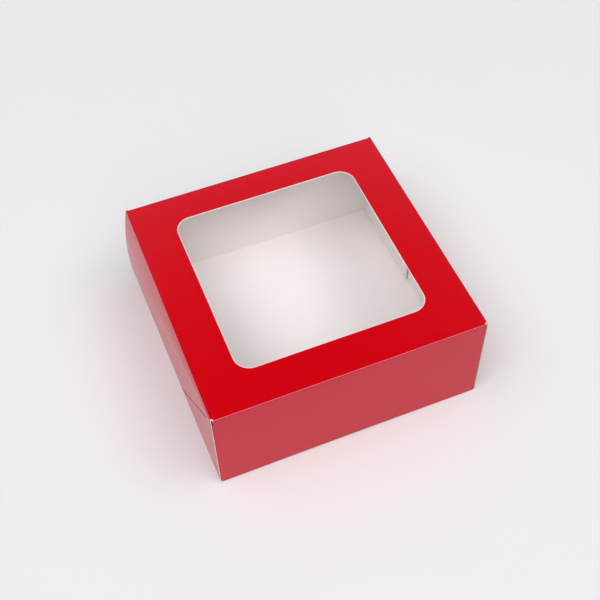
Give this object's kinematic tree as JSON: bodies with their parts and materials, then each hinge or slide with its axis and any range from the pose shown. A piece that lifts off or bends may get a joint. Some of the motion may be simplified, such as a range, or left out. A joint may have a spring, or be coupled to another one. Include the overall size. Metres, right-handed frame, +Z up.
{
  "type": "window sweet box",
  "caption": "Square folded paperboard box with a hinged lid over a tray and a clear film window, for sweets or small cakes.",
  "frame": {"origin": "on the table under the middle of the closed box", "axes": "+Z up, +X to the right seen from the front, +Y to the back edge that the lid turns on"},
  "size_m": [0.1896, 0.176, 0.076],
  "materials": {
    "lid_board": "red coated face with a satin sheen, white back and cut edges",
    "tray_board": "the same board, red outside and plain white inside",
    "clear_film": "thin clear polyester film, glossy",
    "dried_glue": "dried adhesive, hidden between panels"
  },
  "bodies": {
    "tray": {"tray_floor": "tray_board", "tray_front_wall": "tray_board", "tray_back_wall": "tray_board", "tray_left_wall": "tray_board", "tray_right_wall": "tray_board", "tray_front_left_web": "tray_board", "tray_front_left_tab": "tray_board", "tray_front_left_glue": "dried_glue", "tray_front_right_web": "tray_board", "tray_front_right_tab": "tray_board", "tray_front_right_glue": "dried_glue", "tray_back_left_web": "tray_board", "tray_back_left_tab": "tray_board", "tray_back_left_glue": "dried_glue", "tray_back_right_web": "tray_board", "tray_back_right_tab": "tray_board", "tray_back_right_glue": "dried_glue"},
    "lid": {"lid_top_panel": "lid_board", "lid_front_wall": "lid_board", "lid_left_wall": "lid_board", "lid_left_gusset": "lid_board", "lid_left_tab": "lid_board", "lid_left_glue": "dried_glue", "lid_right_wall": "lid_board", "lid_right_gusset": "lid_board", "lid_right_tab": "lid_board", "lid_right_glue": "dried_glue", "window_film": "clear_film", "window_film_glue": "dried_glue"}
  },
  "joints": [
    {"name": "lid_hinge", "type": "hinge", "parent": "tray", "child": "lid", "pos_m": [0, 0.088, 0.076], "axis": [-1, 0, 0], "range_deg": [0, 205]}
  ]
}
